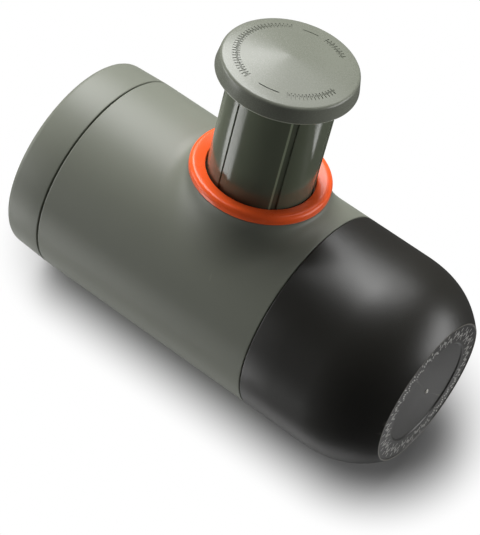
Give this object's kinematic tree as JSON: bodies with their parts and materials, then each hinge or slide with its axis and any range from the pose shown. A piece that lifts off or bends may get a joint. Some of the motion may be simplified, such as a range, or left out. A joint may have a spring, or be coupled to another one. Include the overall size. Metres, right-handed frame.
{
  "type": "handheld manual espresso maker",
  "caption": "Pocket pump espresso maker: round body with a screw-in water tank, a side piston in a coloured ring, a threaded brew head and a domed push-on cup.",
  "frame": {"origin": "centre of the flat base of the water tank, on the body's axis", "axes": "+Z along the body's axis from the tank's flat base to the end of the cup; the piston comes out of the body towards -Y"},
  "size_m": [0.062, 0.1061, 0.1273],
  "materials": {
    "sage_plastic": "fine moulded texture, satin matte",
    "barrel_plastic": "polished",
    "orange_plastic": "polished",
    "black_plastic": "satin",
    "frame_plastic": "moulded, satin",
    "steel": "stainless, satin",
    "silicone": "matte",
    "black_rubber": "matte",
    "clear_plastic": "milky, smooth"
  },
  "bodies": {
    "main_body": {"body_shell": "sage_plastic", "trim_ring": "orange_plastic", "barrel_guide": "black_plastic", "pump_frame": "frame_plastic", "head_collar": "frame_plastic", "frame_screws": "steel", "pump_cylinder": "steel", "rod_guide": "frame_plastic", "cylinder_screws": "steel", "valve_block": "frame_plastic", "passage_seal": "silicone", "inlet_spring": "steel", "outlet_spring": "steel", "outlet_plug": "frame_plastic", "intake_tube": "clear_plastic", "intake_filter": "frame_plastic", "vent_valve": "silicone", "shower_screen": "steel", "shower_screw": "steel", "brew_gasket": "silicone", "cup_seal": "silicone", "return_spring": "steel"},
    "inlet_valve": {"inlet_ball": "steel"},
    "outlet_valve": {"outlet_ball": "steel"},
    "plunger": {"plunger_rod": "steel", "plunger_seal": "black_rubber", "seal_screw": "steel"},
    "piston": {"piston_barrel": "barrel_plastic", "piston_knob": "sage_plastic", "rod_retainer": "steel"},
    "tank_travel": {"tank_seal": "silicone"},
    "tank": {"water_tank": "sage_plastic"},
    "basket": {"filter_basket": "steel"},
    "head": {"outlet_head": "black_plastic", "head_screen": "steel"},
    "cup": {"cup": "black_plastic"}
  },
  "joints": [
    {"name": "piston_press", "type": "slide", "parent": "main_body", "child": "plunger", "axis": [0, 1, 0], "range_m": [0, 0.0315], "stiffness_N_per_m": 600, "deforming": ["return_spring"]},
    {"name": "knob_lock", "type": "hinge", "parent": "plunger", "child": "piston", "pos_m": [0, -0.0674, 0.0601], "axis": [0, -1, 0], "range_deg": [0, 50]},
    {"name": "tank_lower", "type": "slide", "parent": "main_body", "child": "tank_travel", "axis": [0, 0, -1], "range_m": [0, 0.009]},
    {"name": "tank_unscrew", "type": "hinge", "parent": "tank_travel", "child": "tank", "pos_m": [0, 0, 0.026], "axis": [0, 0, -1], "range_deg": [0, 360]},
    {"name": "head_rise", "type": "slide", "parent": "main_body", "child": "basket", "axis": [0, 0, 1], "range_m": [0, 0.006]},
    {"name": "head_unscrew", "type": "hinge", "parent": "basket", "child": "head", "pos_m": [0, 0, 0.088], "axis": [0, 0, 1], "range_deg": [0, 240]},
    {"name": "cup_pull", "type": "slide", "parent": "main_body", "child": "cup", "axis": [0, 0, 1], "range_m": [0, 0.045]},
    {"name": "inlet_lift", "type": "slide", "parent": "main_body", "child": "inlet_valve", "axis": [0, 0, 1], "range_m": [0, 0.001], "stiffness_N_per_m": 40, "deforming": ["inlet_spring"]},
    {"name": "outlet_lift", "type": "slide", "parent": "main_body", "child": "outlet_valve", "axis": [0, 0, 1], "range_m": [0, 0.001], "stiffness_N_per_m": 40, "deforming": ["outlet_spring"]}
  ],
  "couplings": [
    {"joint": "tank_lower", "follows": "tank_unscrew", "m_per_rad": 0.0014324},
    {"joint": "head_rise", "follows": "head_unscrew", "m_per_rad": 0.0014324}
  ]
}
